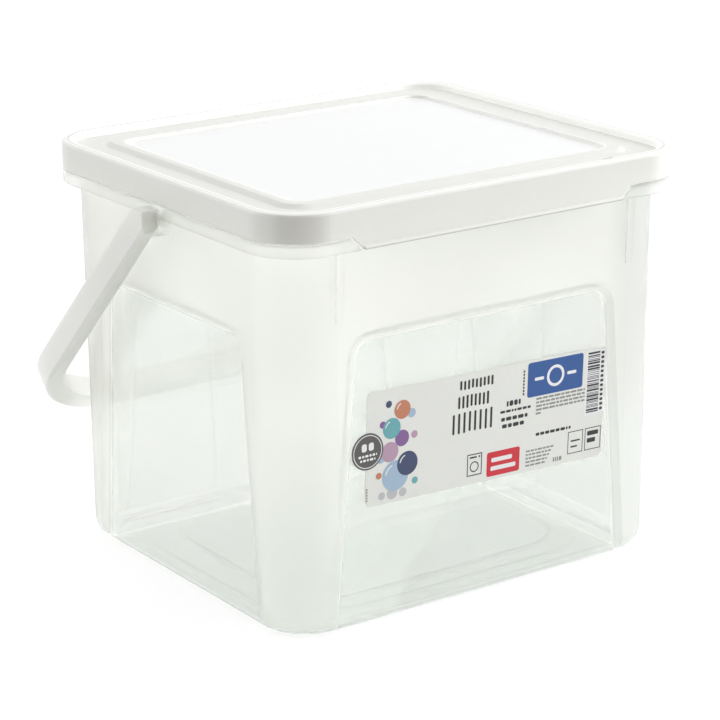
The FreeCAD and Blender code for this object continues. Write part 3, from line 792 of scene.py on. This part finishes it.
# %% Striped code
THIN = 0.28           # thickness of the code's thinnest bar and of its narrowest gap
LEAST_BAR = 0.3       # the code ends where less height than this is left


def striped_code(u0, u1, v0, v1):
    """Bars of uneven thickness, stacked up the film."""
    chance = random.Random(7)
    shapes = []
    v = v0
    while v < v1 - LEAST_BAR:
        thick = chance.choice((THIN, THIN, 2 * THIN, 3 * THIN))
        shapes += rounded_box(u0, u1, v, min(v + thick, v1), SHARP)
        v += thick + chance.choice((THIN, THIN, 2 * THIN))
    return shapes


print_label("print_code_ground", rounded_box(52.0, 62.6, -5.0, 24.0, 0.4), PALE)
code = striped_code(53.0, 59.6, -4.0, 23.4)
for digit in range(13):
    v = -3.6 + digit * 2.08
    code += rounded_box(60.3, 61.9, v, v + 1.2, 0.3)
print_label("print_striped_code", code, BLACK, 1)

# %% Thin-lined icons
icons = frame_box(-10.6, -2.8, -20.9, -11.3, 0.45) + ring(-6.8, -17.0, 2.1, 0.5)
icons += rounded_box(-9.4, -5.6, -13.2, -12.5, 0.2) + disc(-4.2, -12.85, 0.45)
icons += frame_box(43.6, 51.9, -20.9, -10.9, 0.35) + frame_box(53.0, 61.9, -20.9, -10.9, 0.35)
icons += rounded_box(45.2, 50.3, -15.6, -14.9, 0.2) + rounded_box(45.2, 48.9, -18.2, -17.5, 0.2)
icons += rounded_box(54.3, 60.4, -14.4, -12.4, 0.3) + rounded_box(54.3, 58.9, -17.6, -15.6, 0.3)
print_label("print_icons", icons, BLACK)

# %% [markdown]
# The picture at the label's left end is a generic one: a loose column of soap bubbles and plain
# discs in the label's colours, drawn from overlapping circles.

# %% The picture of discs
picture = [
    (MIST, disc(-49.0, -20.6, 2.6) + disc(-54.2, -20.9, 1.7) + disc(-43.6, -21.0, 1.9)),
    (SKY, disc(-47.6, -13.2, 6.6) + disc(-55.1, -4.4, 2.3) + disc(-40.0, 12.4, 2.0)),
    (NAVY, disc(-41.6, -8.9, 5.2) + disc(-51.6, 17.9, 1.5)),
    (MAUVE, disc(-50.6, -2.6, 4.3) + disc(-38.4, 3.0, 1.6)),
    (VIOLET, disc(-44.6, 2.4, 3.5) + disc(-54.4, 9.6, 1.5)),
    (TEAL, disc(-49.9, 7.4, 4.4) + disc(-37.6, -17.0, 1.5)),
    (CORAL, disc(-44.7, 14.6, 4.0) + disc(-55.9, -11.9, 1.4)),
]
for layer, (ink, shapes) in enumerate(picture):
    print_label("print_picture_" + ink.name.removeprefix("ink_"), shapes, ink, layer)

# Four of the bubbles get a short curved glint at their upper left.
glints = []
for cu, cv, radius, width in ((-47.6, -13.2, 4.9, 0.6), (-49.9, 7.4, 3.1, 0.5),
                              (-44.7, 14.6, 2.8, 0.5), (-41.6, -8.9, 3.8, 0.5)):
    glints += ring(cu, cv, radius, width, 110, 170, 12)
print_label("print_picture_glints", glints, PALE, len(picture))

# %% The sticker's print
badge = ring(0, 0, 6.9, 0.35)
badge += rounded_box(-3.0, -0.5, 0.2, 3.6, 0.9) + rounded_box(0.5, 3.0, 0.2, 3.6, 0.9)
badge += small_print(-4.6, 4.6, -2.2, -1.2, 50, 2.0, 0.5)
badge += small_print(-3.8, 3.8, -4.0, -3.0, 51, 2.0, 0.5)
print_ink("print_badge", badge, sticker_axes, PALE)

# %% [markdown]
# ## The studio
#
# The container stands on white paper, inside a white tent that lights it from all sides. The
# tent is open towards the camera, which darkens the container's near corner. Three soft lights
# add to it: a strong one at the right, a weaker one at the left behind the container, and a very
# weak one above. The floor and the tent look pure white to the camera, but give the container
# only as much light as real ones would.

# %% Show colours as they are
bpy.context.scene.view_settings.view_transform = "Standard"

# %% What the camera sees
WHITE = (1, 1, 1, 1)


def seen_rays(graph):
    """1 for what the camera sees, straight or by reflection, and 0 for light that falls."""
    camera_ray, glossy, through = graph.outputs(
        "ShaderNodeLightPath", "Is Camera Ray", "Is Glossy Ray", "Is Transmission Ray")
    return camera_ray | glossy | through


# %% Floor
PAPER_SIZE = 6.0
PAPER_DROP = 0.2 * MM     # the container stands just above the paper
PAPER_SHINE = 0.78        # what the camera sees of the paper's light, besides its shadows


def make_floor():
    """The white paper that the container stands on."""
    mesh = bmesh.new()
    bmesh.ops.create_grid(mesh, x_segments=1, y_segments=1, size=PAPER_SIZE / 2)
    data = bpy.data.meshes.new("studio_floor")
    mesh.to_mesh(data)
    mesh.free()
    floor = bpy.data.objects.new("studio_floor", data)
    floor.location = (0, 0, -PAPER_DROP)
    bpy.context.scene.collection.objects.link(floor)
    finish = Finish("studio_paper")
    where = finish.place()
    tone = finish.mix(finish.noise(where, 3.0), (0.90, 0.90, 0.90, 1), (0.92, 0.92, 0.92, 1))
    paper = finish.node("ShaderNodeBsdfDiffuse", values={"Color": tone})
    shaded = finish.node("ShaderNodeBsdfDiffuse", values={"Color": (0.30, 0.30, 0.30, 1)})
    shining = finish.node("ShaderNodeEmission", values={"Color": WHITE, "Strength": PAPER_SHINE})
    seen = finish.node("ShaderNodeAddShader", values=[shaded, shining])
    surface = finish.node("ShaderNodeMixShader", values=[seen_rays(finish), paper, seen])
    finish.wear(surface, floor)


make_floor()

# %% Tent
TENT_LIGHT = 1.01
OPENING = Vector((-0.74, -0.66, 0.15)).normalized()     # direction of the tent's opening
OPENING_EDGE = 0.35       # cosine of the angle from it where the tent begins to darken
OPENING_INSIDE = 0.80     # and of the one where it is darkest


def make_tent():
    """A white tent all round, which gets dark towards its opening."""
    world = bpy.data.worlds.new("white_tent")
    bpy.context.scene.world = world
    graph = Graph(world)
    sky = graph.outputs("ShaderNodeTexCoord", "Generated")[0]
    facing = graph.node(
        "ShaderNodeVectorMath", {"operation": "DOT_PRODUCT"}, [sky, tuple(OPENING)], 1)
    light = TENT_LIGHT - facing.ramp(OPENING_EDGE, OPENING_INSIDE)
    fill = graph.node("ShaderNodeBackground", values={"Strength": light, "Color": WHITE})
    white = graph.node("ShaderNodeBackground", values={"Strength": 1.0, "Color": WHITE})
    surface = graph.node("ShaderNodeMixShader", values=[seen_rays(graph), fill, white])
    graph.node("ShaderNodeOutputWorld", values=[surface])


make_tent()

# %% Soft lights
LIT_POINT = Vector((0, 0, 0.09))     # the middle of the container


def soft_light(name, place, width, height, watts):
    """A glowing rectangle that is turned to the middle of the container."""
    data = bpy.data.lights.new(name, "AREA")
    data.shape = "RECTANGLE"
    data.size = width
    data.size_y = height
    data.energy = watts
    lamp = bpy.data.objects.new(name, data)
    lamp.location = place
    lamp.rotation_euler = (LIT_POINT - Vector(place)).to_track_quat("-Z", "Y").to_euler()
    bpy.context.scene.collection.objects.link(lamp)


soft_light("top_softbox", (0.25, 0.25, 1.3), 1.3, 1.1, 0.7)
soft_light("right_softbox", (1.25, -0.55, 0.75), 0.9, 0.9, 15.0)
soft_light("left_softbox", (-1.2, 1.0, 0.45), 0.9, 0.9, 4.6)
print("three soft lights and a white tent")
